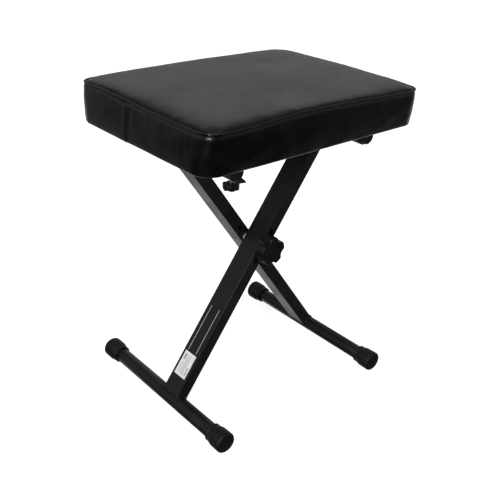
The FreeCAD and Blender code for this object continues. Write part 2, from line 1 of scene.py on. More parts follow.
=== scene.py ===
import json
import math

import bpy
import numpy as np
from mathutils import Matrix, Vector, noise
from mathutils.kdtree import KDTree


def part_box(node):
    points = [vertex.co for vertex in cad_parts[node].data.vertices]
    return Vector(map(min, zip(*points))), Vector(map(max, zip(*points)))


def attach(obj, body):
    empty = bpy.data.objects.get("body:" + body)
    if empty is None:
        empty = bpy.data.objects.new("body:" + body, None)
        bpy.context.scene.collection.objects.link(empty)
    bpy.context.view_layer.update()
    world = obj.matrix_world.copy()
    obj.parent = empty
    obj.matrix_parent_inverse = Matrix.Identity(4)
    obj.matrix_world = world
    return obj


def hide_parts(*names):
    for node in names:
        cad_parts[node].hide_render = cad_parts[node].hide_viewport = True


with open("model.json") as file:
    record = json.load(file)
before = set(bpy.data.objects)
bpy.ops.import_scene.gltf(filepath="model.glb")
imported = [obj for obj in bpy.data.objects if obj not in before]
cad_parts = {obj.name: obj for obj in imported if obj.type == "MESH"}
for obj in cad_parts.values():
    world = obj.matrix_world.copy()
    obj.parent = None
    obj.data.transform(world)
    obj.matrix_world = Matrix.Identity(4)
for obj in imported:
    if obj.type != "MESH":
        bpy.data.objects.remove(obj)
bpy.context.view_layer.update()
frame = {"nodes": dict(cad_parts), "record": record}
NODES = frame["nodes"]
MM = 0.001


# ------------------------------------------------------------------ materials
class Graph:
    """A node tree, with short calls that add to it."""

    def __init__(self, tree):
        self.tree = tree

    def node(self, kind, **settings):
        made = self.tree.nodes.new(kind)
        for key, value in settings.items():
            setattr(made, key, value)
        return made

    def feed(self, socket, value):
        """Link an output, or set a plain value, on a socket."""
        if isinstance(value, bpy.types.NodeSocket):
            self.tree.links.new(value, socket)
        else:
            socket.default_value = value

    def math(self, operation, a, b):
        made = self.node("ShaderNodeMath", operation=operation)
        self.feed(made.inputs[0], a)
        self.feed(made.inputs[1], b)
        return made.outputs[0]

    def remap(self, value, low, high, to_low=0.0, to_high=1.0):
        """Ease a value from one range to another, level outside it."""
        made = self.node("ShaderNodeMapRange", interpolation_type="SMOOTHSTEP")
        self.feed(made.inputs["Value"], value)
        for socket, number in zip(("From Min", "From Max", "To Min", "To Max"),
                                  (low, high, to_low, to_high)):
            made.inputs[socket].default_value = number
        return made.outputs["Result"]


class Paint(Graph):
    """A Principled material with a few short calls for its node graph."""

    def __init__(self, name, **constants):
        self.material = bpy.data.materials.new(name)
        self.material.use_nodes = True
        super().__init__(self.material.node_tree)
        self.shader = self.tree.nodes["Principled BSDF"]
        for socket, value in constants.items():
            self.shader.inputs[socket.replace("_", " ")].default_value = value
        self.place = self.node("ShaderNodeTexCoord").outputs["Object"]

    def stretch(self, scale):
        """The object's own coordinates, scaled apart, for a grain that runs one way."""
        made = self.node("ShaderNodeMapping")
        self.feed(made.inputs["Vector"], self.place)
        made.inputs["Scale"].default_value = scale
        return made.outputs[0]

    def noise(self, scale, detail=3.0, roughness=0.5, where=None):
        made = self.node("ShaderNodeTexNoise")
        self.feed(made.inputs["Vector"], where or self.place)
        made.inputs["Scale"].default_value = scale
        made.inputs["Detail"].default_value = detail
        made.inputs["Roughness"].default_value = roughness
        return made.outputs["Fac"]

    def cells(self, scale, feature="F1"):
        made = self.node("ShaderNodeTexVoronoi", feature=feature)
        self.feed(made.inputs["Vector"], self.place)
        made.inputs["Scale"].default_value = scale
        return made.outputs["Distance"]

    def blend(self, share, first, second):
        """Mix two colours, given as plain triples or outputs."""
        made = self.node("ShaderNodeMix", data_type="RGBA")
        self.feed(made.inputs[0], share)
        for socket, colour in ((made.inputs[6], first), (made.inputs[7], second)):
            self.feed(socket, colour if isinstance(colour, bpy.types.NodeSocket) else (*colour, 1))
        return made.outputs[2]

    def openness(self, reach):
        """1 on open surfaces, falling to 0 in grooves narrower than the reach."""
        made = self.node("ShaderNodeAmbientOcclusion", samples=8)
        made.inputs["Distance"].default_value = reach
        return made.outputs["AO"]

    def edges(self, radius):
        """How near a point is to a sharp edge of its piece, 0 to 1."""
        rounded = self.node("ShaderNodeBevel", samples=6)
        rounded.inputs["Radius"].default_value = radius
        true = self.node("ShaderNodeNewGeometry").outputs["Normal"]
        dot = self.node("ShaderNodeVectorMath", operation="DOT_PRODUCT")
        self.feed(dot.inputs[0], rounded.outputs[0])
        self.feed(dot.inputs[1], true)
        return self.remap(dot.outputs["Value"], 0.995, 0.86)

    def colour(self, value):
        self.feed(self.shader.inputs["Base Color"], value)

    def rough(self, value):
        self.feed(self.shader.inputs["Roughness"], value)

    def bump(self, height, strength, distance):
        """Add a bump on top of any earlier one; the distance is in metres."""
        made = self.node("ShaderNodeBump")
        made.inputs["Strength"].default_value = strength
        made.inputs["Distance"].default_value = distance
        self.feed(made.inputs["Height"], height)
        if self.shader.inputs["Normal"].links:
            self.feed(made.inputs["Normal"], self.shader.inputs["Normal"].links[0].from_socket)
        self.feed(self.shader.inputs["Normal"], made.outputs[0])


def powder_coat():
    """Satin black powder coat: orange peel, faint dust, shinier on the edges, and lighter along them,
    partly from wear and partly as a painted highlight.
    """
    p = Paint("powder_coat", Specular_IOR_Level=0.42)
    patches = p.noise(22, 4)
    specks = p.remap(p.noise(2600, 2), 0.70, 0.80)
    edges = p.edges(1.1 * MM)
    # edge mask for a lighter colour: partly wear, partly a painted highlight that outlines the edges
    wear_and_highlight = p.math("MULTIPLY", edges, p.remap(p.noise(160, 3), 0.35, 0.65))
    base = p.blend(p.remap(patches, 0.3, 0.7), (0.0048, 0.0048, 0.0050), (0.0072, 0.0072, 0.0075))
    base = p.blend(p.math("MULTIPLY", specks, 0.35), base, (0.035, 0.035, 0.035))
    # painted highlight, partly real wear: the colour is lightened along the sharp edges
    p.colour(p.blend(p.math("MULTIPLY", wear_and_highlight, 0.5), base, (0.045, 0.045, 0.046)))
    rough = p.remap(patches, 0.25, 0.75, 0.36, 0.46)
    p.rough(p.math("SUBTRACT", rough, p.math("MULTIPLY", edges, 0.25)))
    p.bump(p.noise(750, 2), 0.22, 0.4 * MM)
    p.bump(p.noise(2400, 2), 0.12, 0.2 * MM)
    return p.material


def vinyl(name, gloss_kept_in_shaded_grooves, roughness):
    """Smooth upholstery vinyl: fine pebble grain under a satin finish, with painted shade in its
    grooves, where ambient occlusion cuts its gloss.
    """
    p = Paint(name)
    broad = p.noise(9, 4)
    grain = p.cells(1500)
    pores = p.cells(620, "DISTANCE_TO_EDGE")
    rubbed = p.remap(p.noise(38, 5, 0.6), 0.45, 0.75)
    base = p.blend(p.remap(broad, 0.3, 0.7), (0.0011, 0.0011, 0.0012), (0.0020, 0.0020, 0.0021))
    p.colour(p.blend(p.math("MULTIPLY", rubbed, 0.3), base, (0.0065, 0.0065, 0.0068)))
    satin = p.remap(broad, 0.25, 0.75, roughness, roughness + 0.07)
    p.rough(p.math("ADD", satin, p.math("MULTIPLY", rubbed, 0.05)))
    # painted shade: the gloss is cut where ambient occlusion finds a groove, such as under the piping
    gloss_with_painted_shade = p.remap(p.openness(5 * MM), 0.35, 0.95, gloss_kept_in_shaded_grooves, 1)
    p.feed(p.shader.inputs["Specular IOR Level"], p.math("MULTIPLY", gloss_with_painted_shade, 0.5))
    p.bump(p.remap(pores, 0.0, 0.16), 0.10, 0.18 * MM)
    p.bump(grain, 0.16, 0.16 * MM)
    return p.material


def moulded(name, tone, low, high, grain, depth, dust=0.25):
    """Moulded plastic or rubber: spark-eroded grain, duller patches, greyed edges.

    Its roughness varies from low to high, and dust is the share of grey on its edges.
    """
    p = Paint(name, Specular_IOR_Level=0.45)
    patches = p.noise(60, 4, 0.6)
    rubbed = p.math("MULTIPLY", p.edges(1.2 * MM), p.remap(p.noise(240, 3), 0.3, 0.7))
    base = p.blend(p.remap(patches, 0.3, 0.7), (tone, tone, tone * 1.03),
                   (tone * 1.45, tone * 1.45, tone * 1.48))
    p.colour(p.blend(p.math("MULTIPLY", rubbed, dust), base, (tone * 5, tone * 5, tone * 5)))
    p.rough(p.remap(patches, 0.25, 0.75, low, high))
    p.bump(p.noise(grain, 2), 0.3, depth)
    return p.material


def zinc():
    """Bright zinc plate with a faint brushed streak and duller, yellowed patches."""
    p = Paint("zinc_steel", Metallic=1.0)
    streaks = p.noise(60, 3, where=p.stretch((1, 30, 30)))
    patches = p.remap(p.noise(90, 4), 0.4, 0.7)
    p.colour(p.blend(patches, (0.60, 0.60, 0.59), (0.47, 0.45, 0.40)))
    p.rough(p.math("ADD", p.remap(streaks, 0.3, 0.7, 0.24, 0.36), p.math("MULTIPLY", patches, 0.12)))
    p.bump(streaks, 0.08, 0.1 * MM)
    return p.material


def nylon():
    """Natural nylon, off-white and faintly mottled."""
    p = Paint("nylon", Specular_IOR_Level=0.5)
    mottle = p.noise(120, 4)
    p.colour(p.blend(mottle, (0.74, 0.73, 0.69), (0.62, 0.61, 0.57)))
    p.rough(p.remap(mottle, 0.3, 0.7, 0.36, 0.5))
    p.bump(p.noise(1800, 2), 0.15, 0.1 * MM)
    return p.material


def plywood():
    """Birch plywood: long grain on the faces and thin glue lines on the edge."""
    p = Paint("plywood", Specular_IOR_Level=0.3)
    grain = p.noise(18, 6, 0.65, where=p.stretch((1, 14, 1)))
    plies = p.noise(1, 0, where=p.stretch((0, 0, 430)))
    wood = p.blend(p.remap(grain, 0.3, 0.7), (0.52, 0.36, 0.21), (0.66, 0.50, 0.32))
    p.colour(p.blend(p.remap(plies, 0.55, 0.62), wood, (0.34, 0.22, 0.13)))
    p.rough(p.remap(grain, 0.3, 0.7, 0.6, 0.75))
    p.bump(grain, 0.2, 0.3 * MM)
    return p.material


def dust_cloth():
    """Black spun-bonded cloth: matted fibres and rows of small heat-bonded dimples."""
    p = Paint("dust_cloth", Specular_IOR_Level=0.25, Sheen_Weight=0.25, Sheen_Roughness=0.5)
    fibres = p.noise(900, 4, 0.7, where=p.stretch((1, 5, 1)))
    crossed = p.noise(900, 4, 0.7, where=p.stretch((5, 1, 1)))
    dimples = p.cells(420)
    woven = p.math("MAXIMUM", fibres, crossed)
    p.colour(p.blend(p.remap(woven, 0.4, 0.75), (0.007, 0.007, 0.0075), (0.024, 0.024, 0.025)))
    p.rough(p.remap(woven, 0.3, 0.8, 0.82, 0.96))
    p.bump(woven, 0.5, 0.3 * MM)
    p.bump(p.remap(dimples, 0.15, 0.4), 0.4, 0.3 * MM)
    return p.material


def printed(name, tone, low, high):
    """A printed or label surface: faint mottling, slight soiling and a soft gloss."""
    p = Paint(name, Specular_IOR_Level=0.4)
    mottle = p.noise(260, 4)
    soil = p.remap(p.noise(55, 5, 0.65), 0.55, 0.85)
    clean = p.blend(mottle, (tone, tone, tone * 0.99), (tone * 0.93, tone * 0.93, tone * 0.91))
    p.colour(p.blend(p.math("MULTIPLY", soil, 0.35), clean, (tone * 0.6, tone * 0.59, tone * 0.56)))
    p.rough(p.remap(mottle, 0.3, 0.7, low, high))
    p.bump(p.noise(1500, 2), 0.1, 0.05 * MM)
    return p.material


MATERIALS = {
    "powder_coat": powder_coat(),
    "vinyl": vinyl("vinyl", 0.1, 0.30),
    # the piping's copy keeps most of its gloss in grooves, so little painted shade falls on it; it is
    # also glossier
    "piping_vinyl": vinyl("piping_vinyl", 0.8, 0.20),
    "cap_rubber": moulded("cap_rubber", 0.0018, 0.50, 0.66, 1300, 0.25 * MM),
    "knob_plastic": moulded("knob_plastic", 0.0028, 0.36, 0.48, 2600, 0.12 * MM, dust=0.4),
    "plug_plastic": moulded("plug_plastic", 0.004, 0.38, 0.5, 2200, 0.12 * MM),
    "zinc_steel": zinc(),
    "nylon": nylon(),
    "plywood": plywood(),
    "dust_cloth": dust_cloth(),
    "white_label": printed("white_label", 0.80, 0.32, 0.44),
    "stripe_ink": printed("stripe_ink", 0.52, 0.4, 0.52),
    "label_print": printed("label_print", 0.42, 0.4, 0.5),
}
MATERIALS["foam"] = MATERIALS["dust_cloth"]     # the foam lies inside the cover, unseen

for part in frame["record"]["subparts"]:
    mesh = NODES[part["node"]].data
    mesh.materials.clear()
    mesh.materials.append(MATERIALS[part["material_slot"]])


# ------------------------------------------------------------------ mesh helpers
BEAD_SIDES = 10                # of the round section of a weld bead or of the piping


def new_piece(name, points, faces, body, slot, material=None, smooth=True):
    """Make a mesh piece from points and faces, ride it on a body and give it its finish.

    The slot is the record's. The material is the slot's own unless another is named.
    """
    mesh = bpy.data.meshes.new(name)
    mesh.from_pydata([tuple(p) for p in np.asarray(points, float)], [], faces)
    mesh.update()
    obj = bpy.data.objects.new(name, mesh)
    bpy.context.scene.collection.objects.link(obj)
    mesh.materials.append(MATERIALS[material or slot])
    mesh.polygons.foreach_set("use_smooth", [smooth] * len(mesh.polygons))
    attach(obj, body)
    return obj


def tube_faces(rings, count, closed):
    """Quads between rings of points; rings are joined end to end when closed."""
    faces = []
    for r in range(rings if closed else rings - 1):
        a, b = r * count, (r + 1) % rings * count
        for k in range(count):
            n = (k + 1) % count
            faces.append((a + k, a + n, b + n, b + k))
    return faces


def sweep_loop(path, radii, count):
    """Points of a tube round a closed path, with a radius at each of its points."""
    path = np.asarray(path, float)
    along = np.roll(path, -1, 0) - np.roll(path, 1, 0)
    along /= np.linalg.norm(along, axis=1)[:, None]
    inward = path.mean(0) - path
    inward -= (inward * along).sum(1)[:, None] * along
    inward /= np.linalg.norm(inward, axis=1)[:, None]
    across = np.cross(along, inward)
    turn = 2 * math.pi * np.arange(count) / count
    ring = (inward[:, None] * np.cos(turn)[None, :, None]
            + across[:, None] * np.sin(turn)[None, :, None])
    return (path[:, None] + ring * np.asarray(radii, float)[:, None, None]).reshape(-1, 3)


# ------------------------------------------------------------------ seat outline
COVER_LOW, COVER_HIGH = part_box("seat_cover")
WELT_LOW, WELT_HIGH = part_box("seat_welt")
SEAM_Z = (WELT_LOW.z + WELT_HIGH.z) / 2
BASE_Z = COVER_LOW.z
TUCK = 1.7 * MM                # how far the two panels' edges lie inside the piping
SEAM_INSET = (3.3 * MM, 0.3 * MM)          # of the piping from the cover's box
BASE_INSET = (-1.8 * MM, 4.2 * MM)         # of the band's lower end from the same
SEAM_HALF = (COVER_HIGH.x - SEAM_INSET[0] - TUCK, COVER_HIGH.y - SEAM_INSET[1] - TUCK)
SEAM_CORNER = 23 * MM - TUCK
BASE_HALF = (COVER_HIGH.x - BASE_INSET[0], COVER_HIGH.y - BASE_INSET[1])
BASE_CORNER = 31 * MM
ZONE = 60 * MM                 # side of the square in which a corner is rounded
CROWN_EDGE = 10.0 * MM         # rise of the top panel just inside the seam
CROWN_MIDDLE = 3.0 * MM        # further rise to its middle
SHOULDER = 27 * MM             # width over which the edge of the top rises
BULGE = 2.0 * MM               # of the side band, between seam and board
HEM_TURN = 3 * MM              # radius where the band turns under the board
FLAP = 26 * MM                 # vinyl that lies under the board
WAVE_REACH = 35 * MM           # how far the seam's waves are felt in the top
FINE_EDGE = (0.0, 0.8, 1.7, 2.8, 4.2, 6.0, 8.2, 11.0)      # grid lines near the seam, in mm
COARSE_EDGE = (0.0, 3.0, 7.0)


def stations(half, edge, cell):
    """Distances across the seat from -half to half, closer together near the seam."""
    near = np.array(edge) * MM
    span = 2 * (half - near[-1])
    middle = np.linspace(-span / 2, span / 2, int(round(span / cell)) + 1)
    return np.concatenate([near[:-1] - half, middle, half - near[-2::-1]])


def rounded(x, y, half, corner):
    """Move points of a rectangle to a rectangle with round corners, evenly."""
    cx, cy = half[0] - ZONE, half[1] - ZONE
    p = np.clip((np.abs(x) - cx) / ZONE, 0, 1)
    q = np.clip((np.abs(y) - cy) / ZONE, 0, 1)
    inside = (p > 0) & (q > 0)
    reach = np.maximum(np.maximum(p, q), 1e-9)
    share = np.where(p >= q, q / reach / 2, 1 - p / reach / 2)
    straight = 1 - corner / ZONE
    arc = math.pi / 2 * corner / ZONE
    s = share * (2 * straight + arc)
    turn = np.clip((s - straight) / (corner / ZONE), 0, math.pi / 2)
    bx = np.where(s < straight, 1, straight + corner / ZONE * np.cos(turn))
    by = np.where(s < straight, s, straight + corner / ZONE * np.sin(turn))
    past = s > straight + arc
    bx = np.where(past, 2 * straight + arc - s, bx)
    by = np.where(past, 1, by)
    weight = reach * reach * (3 - 2 * reach)
    mp = p * (1 - weight) + weight * reach * bx
    mq = q * (1 - weight) + weight * reach * by
    nx = np.where(inside, np.sign(x) * (cx + mp * ZONE), x)
    ny = np.where(inside, np.sign(y) * (cy + mq * ZONE), y)
    return nx, ny


def rim(grid):
    """The outer points of a grid in order, from the front left corner along the front."""
    return np.concatenate([grid[0, :-1], grid[:-1, -1], grid[-1, :0:-1], grid[:0:-1, 0]])


def smoothed(field, times, ring):
    """Blur a field of vectors over its grid; a ring's columns join end to end."""
    for _ in range(times):
        rows = np.concatenate([field[:1], field, field[-1:]])
        field = (rows[:-2] + 2 * rows[1:-1] + rows[2:]) / 4
        ends = (field[:, -1:], field[:, :1]) if ring else (field[:, :1], field[:, -1:])
        columns = np.concatenate([ends[0], field, ends[1]], 1)
        field = (columns[:, :-2] + 2 * columns[:, 1:-1] + columns[:, 2:]) / 4
    return field


# Height of the seam above its level, in mm, by share of each side's length:
# front (left to right), right (front to back), back (left to right), left (front to back).
SEAM_WAVE = (
    ((0, -0.8), (0.1, -0.8), (0.17, -0.4), (0.26, 2.0), (0.37, 4.4), (0.5, 3.6), (0.66, 1.6),
     (0.84, -1.5), (0.93, -2.4), (1, -2.4)),
    ((0, -2.4), (0.2, -0.4), (0.5, 1.4), (0.8, 0.2), (1, -0.6)),
    ((0, -0.4), (0.25, 1.6), (0.5, 2.4), (0.75, 1.0), (1, -0.6)),
    ((0, -0.8), (0.1, -2.2), (0.25, -2.6), (0.42, -2.2), (0.6, -0.2), (0.8, 1.2), (0.93, 0),
     (1, -0.4)),
)


def smooth_step(x, low, high):
    """0 below the low value, 1 above the high one, and eased between them."""
    t = np.clip((x - low) / (high - low), 0, 1)
    return t * t * (3 - 2 * t)


def eased(x, points):
    """Values between points, with a level tangent at each of them."""
    at, height = np.array(points).T
    i = np.clip(np.searchsorted(at, x, "right") - 1, 0, len(at) - 2)
    t = smooth_step(x, at[i], at[i + 1])
    return height[i] * (1 - t) + height[i + 1] * t


def seam_lift(x, y):
    """How far the seam's waves lift a point of the top, given in rectangle coordinates."""
    u = (x / SEAM_HALF[0] + 1) / 2
    v = (y / SEAM_HALF[1] + 1) / 2
    waves = [eased(u, SEAM_WAVE[0]), eased(v, SEAM_WAVE[1]), eased(u, SEAM_WAVE[2]),
             eased(v, SEAM_WAVE[3])]
    gaps = [y + SEAM_HALF[1], SEAM_HALF[0] - x, SEAM_HALF[1] - y, x + SEAM_HALF[0]]
    pulls = [1 / (gap + 0.4 * MM) ** 2 for gap in gaps]
    mean = sum(w * p for w, p in zip(waves, pulls)) / sum(pulls)
    return mean * np.exp(-np.minimum.reduce(gaps) / WAVE_REACH) * MM


def top_panel(xs, ys, fullness):
    """The crowned top as a grid of points whose rim is the seam."""
    gx, gy = np.meshgrid(xs, ys)
    rx, ry = rounded(gx, gy, SEAM_HALF, SEAM_CORNER)
    in_x = 1 - np.exp(-2 * (SEAM_HALF[0] - np.abs(gx)) / SHOULDER)
    in_y = 1 - np.exp(-2 * (SEAM_HALF[1] - np.abs(gy)) / SHOULDER)
    bow = (1 - (gx / SEAM_HALF[0]) ** 2) * (1 - (gy / SEAM_HALF[1]) ** 2)
    height = CROWN_EDGE * np.sqrt(np.clip(in_x * in_y, 0, 1)) + CROWN_MIDDLE * bow
    return np.stack([rx, ry, SEAM_Z + seam_lift(gx, gy) + fullness * height], -1)


def outward_of(loop):
    """Level unit vectors pointing out of a loop of points."""
    along = np.roll(loop, -1, 0) - np.roll(loop, 1, 0)
    out = np.stack([along[:, 1], -along[:, 0], 0 * along[:, 0]], -1)
    return out / np.linalg.norm(out, axis=1)[:, None]


def side_band(seam, xs, ys, steps, fullness):
    """Loops of points from the seam down the band and under the board.

    Returns the loops, and how far down each one is: 0 at the seam, 1 at the hem's turn,
    and up to 2 at the flap's end.
    """
    base_x = xs * BASE_HALF[0] / SEAM_HALF[0]
    base_y = ys * BASE_HALF[1] / SEAM_HALF[1]
    gx, gy = rounded(*np.meshgrid(base_x, base_y), BASE_HALF, BASE_CORNER)
    base = rim(np.stack([gx, gy, np.full_like(gx, BASE_Z)], -1))
    out = outward_of(base)
    loops, depths = [seam], [0.0]
    for v in steps:
        point = seam * (1 - v) + base * v
        point[:, 2] = seam[:, 2] * (1 - v) + (BASE_Z + HEM_TURN) * v
        swell = BULGE * fullness * math.sin(math.pi * v) ** 0.8
        loops.append(point + out * (swell + TUCK * smooth_step(v, 0.01, 0.085) * (1 - v)))
        depths.append(v)
    for quarter in (0.25, 0.5, 0.75, 1.0):
        turn = quarter * math.pi / 2
        point = base - out * HEM_TURN * (1 - math.cos(turn))
        point[:, 2] = BASE_Z + HEM_TURN * (1 - math.sin(turn))
        loops.append(point)
        depths.append(1 + 0.2 * quarter)
    for share in (0.15, 0.35, 0.55, 0.75, 0.9, 1.0):
        loops.append(base - out * (HEM_TURN + (FLAP - HEM_TURN) * share))
        depths.append(1.2 + 0.8 * share)
    return np.array(loops), np.array(depths)


def closed_faces(rows, columns, loops):
    """Faces of the top grid, the band's loops below its rim, and a flat middle underneath."""
    grid = np.arange(rows * columns).reshape(rows, columns)
    faces = []
    for j in range(rows - 1):
        for i in range(columns - 1):
            faces.append((grid[j, i], grid[j, i + 1], grid[j + 1, i + 1], grid[j + 1, i]))
    edge = list(rim(grid[..., None])[:, 0])
    count = len(edge)
    start = rows * columns
    for r in range(1, loops):
        below = list(range(start + (r - 1) * count, start + r * count))
        for k in range(count):
            n = (k + 1) % count
            faces.append((edge[n], edge[k], below[k], below[n]))
        edge = below
    hub = start + (loops - 1) * count
    for k in range(count):
        faces.append((edge[(k + 1) % count], edge[k], hub))
    return [tuple(int(i) for i in face) for face in faces]


# ------------------------------------------------------------------ seat, simulated
STUFFING = 4.0                 # cloth pressure
SWELL_LIMIT = 9 * MM
START_FULLNESS = 0.85          # of the crown and bulge, before the stuffing swells them
SIMULATED_STEPS = 20


def simulate(xs, ys, steps):
    """Blow up a coarse, slack cover.

    Returns how far the points of its top and of its band move, and the band's depths.
    """
    top = top_panel(xs, ys, START_FULLNESS)
    band, depths = side_band(rim(top), xs, ys, steps, START_FULLNESS)
    rows, columns = top.shape[:2]
    count = band.shape[1]
    hub = [[0, 0, BASE_Z]]
    points = np.concatenate([top.reshape(-1, 3), band[1:].reshape(-1, 3), hub])
    mesh = bpy.data.meshes.new("slack_cover")
    mesh.from_pydata([tuple(p) for p in points], [], closed_faces(rows, columns, len(band)))
    cover = bpy.data.objects.new("slack_cover", mesh)
    bpy.context.scene.collection.objects.link(cover)
    held = np.zeros(len(points))
    held[rim(np.arange(rows * columns).reshape(rows, columns, 1))[:, 0]] = 1
    for r in range(1, len(band)):
        start = rows * columns + (r - 1) * count
        held[start:start + count] = 1 if depths[r] >= 1 else 0
    held[-1] = 1
    pins = cover.vertex_groups.new(name="sewn")
    pins.add([int(i) for i in np.flatnonzero(held)], 1.0, "REPLACE")
    cloth = cover.modifiers.new("cloth", "CLOTH")
    settings = cloth.settings
    settings.quality = 6
    settings.mass = 0.35
    settings.tension_stiffness = settings.compression_stiffness = 18
    settings.shear_stiffness = 8
    settings.bending_stiffness = 4
    settings.use_pressure = True
    settings.uniform_pressure_force = STUFFING
    settings.vertex_group_mass = "sewn"
    settings.shrink_min = -0.002
    settings.effector_weights.gravity = 0
    cloth.collision_settings.use_self_collision = False
    cloth.point_cache.frame_start, cloth.point_cache.frame_end = 1, SIMULATED_STEPS
    for step in range(1, SIMULATED_STEPS + 1):
        bpy.context.scene.frame_set(step)
    graph = bpy.context.evaluated_depsgraph_get()
    result = cover.evaluated_get(graph).to_mesh()
    moved = np.empty(len(points) * 3)
    result.vertices.foreach_get("co", moved)
    moved = moved.reshape(-1, 3) - points
    cover.evaluated_get(graph).to_mesh_clear()
    bpy.data.objects.remove(cover)
    bpy.context.scene.frame_set(1)
    size = np.linalg.norm(moved, axis=1)
    moved *= (np.tanh(size / SWELL_LIMIT) * SWELL_LIMIT / np.maximum(size, 1e-9))[:, None]
    top_moved = moved[:rows * columns].reshape(rows, columns, 3)
    band_moved = np.concatenate([rim(top_moved)[None],
                                 moved[rows * columns:-1].reshape(len(band) - 1, count, 3)])
    return top_moved, band_moved, depths


def resampled(field, old, new, axis):
    """Values of a field at new places along an axis."""
    return np.apply_along_axis(lambda line: np.interp(new, old, line), axis, field)


def trip(xs, ys):
    """The share of the way round the seat at each column of the band."""
    u = (xs / SEAM_HALF[0] + 1) / 2
    v = (ys / SEAM_HALF[1] + 1) / 2
    return np.concatenate([u[:-1], 1 + v[:-1], 3 - u[:0:-1], 4 - v[:0:-1]])


# ------------------------------------------------------------------ seat, finished
CELL, COARSE_CELL = 2.3 * MM, 8 * MM
COARSE_STEPS = tuple(np.linspace(0, 1, 9)[1:])
FINE_STEPS = (0.013, 0.03, 0.055, 0.085) + tuple(np.linspace(0.125, 1, 17))
TOP_LIMIT = COVER_HIGH.z - 0.6 * MM
JOINT_Y = 29.9 * MM            # the band's overlapped joint, on the left side, at the seam
JOINT_LEAN = -5.4 * MM         # of its lower end
JOINT_STEP = 1.0 * MM
JOINT_GRID = (-6, -3.5, -1.8, -0.8, -0.2, 0.25, 0.9, 2, 3.6, 6)     # grid lines beside it, in mm
JOINT_ZONE = 8 * MM            # on either side, in which these replace the even ones
LEFT_STRIP = 18 * MM           # in from the left side, where the folds and the joint act
# Soft upright folds in the left side of the band: y, width and depth in mm, and how far
# down from the seam they reach, as a share of the band.
FOLDS = ((17, 6, 0.45, 0.8), (-5, 10, 0.2, 0.6), (-33, 5, 0.3, 0.5), (-46, 6, 0.3, 0.4),
         (-64, 9, 0.2, 0.7), (-84, 5, 0.25, 0.5), (-98, 6, 0.35, 0.9), (-111, 6, 0.4, 1.0),
         (-126, 8, 0.3, 0.8))
UNEVENNESS = 0.35 * MM         # slow waves in the band
PUCKER = 0.25 * MM             # small pulls along the seam
PLEAT, PLEAT_PITCH, PLEAT_REACH = 0.7 * MM, 10 * MM, 27 * MM
VINYL_THICKNESS = 1.2 * MM
BAND_SHARE = 0.5               # of the band's simulated swell that is kept
PIPING = 1.45 * MM             # radius
PIPING_INWARD = 0.9984         # its outline, as a share of the seam's
PIPING_RISE = 0.8 * MM


def along_loop(loop):
    """Distance along a closed loop at each of its points, and the loop's whole length."""
    steps = np.linalg.norm(np.roll(loop, -1, 0) - loop, axis=1)
    return np.concatenate([[0], np.cumsum(steps)[:-1]]), steps.sum()


def wander(values, seed):
    """Smooth, repeatable noise for a list of numbers, about -1 to 1."""
    return np.array([noise.noise((v, seed, 0.37 * seed)) for v in values]) * 1.6


def detail_band(band, depths):
    """Add the joint, folds, puckers and corner pleats of the finished side band."""
    base = band[np.argmin(np.abs(depths - 1))]
    out = outward_of(base)
    run, length = along_loop(base)
    down = depths[:, None]
    raised = PUCKER * wander(run / (11 * MM), 3)[None] * np.exp(-down / 0.16)
    for row, depth in enumerate(depths):
        raised[row] += UNEVENNESS * wander(run / (52 * MM) + 3 * depth, 8) * min(1, depth * 5)
    left = band[..., 0] < -(SEAM_HALF[0] - LEFT_STRIP)
    y = band[..., 1]
    for place, width, depth, reach in FOLDS:
        away = (y / MM - place) / width
        fold = 0.6 * np.exp(-(away - 1.6) ** 2) - np.exp(-away ** 2)
        fade = (1 - smooth_step(down, 0.35 * reach, reach)) * smooth_step(down, 0, 0.05)
        raised += left * fold * fade * depth * MM
    past = y - JOINT_Y
    lap = JOINT_STEP * (past > 0) * (0.2 + 0.8 * np.exp(-np.abs(past) / (30 * MM)))
    raised += left * lap * smooth_step(down, 0.01, 0.07)
    corners = np.flatnonzero(np.diff(np.sign(np.abs(out[:, 0]) - np.abs(out[:, 1]))))
    for corner in corners:
        away = (run - run[corner] + length / 2) % length - length / 2
        window = 1 - smooth_step(np.abs(away), 0.5 * PLEAT_REACH, PLEAT_REACH)
        fold = (np.cos(2 * math.pi * away / PLEAT_PITCH) * window)[None]
        raised += PLEAT * fold * smooth_step(down, 0.62, 1.1) * (down <= 1.21)
        band[..., 2] -= PLEAT * np.clip(fold, 0, 1) * smooth_step(down, 1.0, 1.2) * (down < 1.9)
    lean = JOINT_LEAN * np.minimum(down, 1) + 0.5 * MM * np.sin(math.pi * np.minimum(down, 1))
    band[..., 1] += left * lean * (1 - smooth_step(np.abs(past), 0, 24 * MM))
    band += out[None] * raised[..., None]
    return band


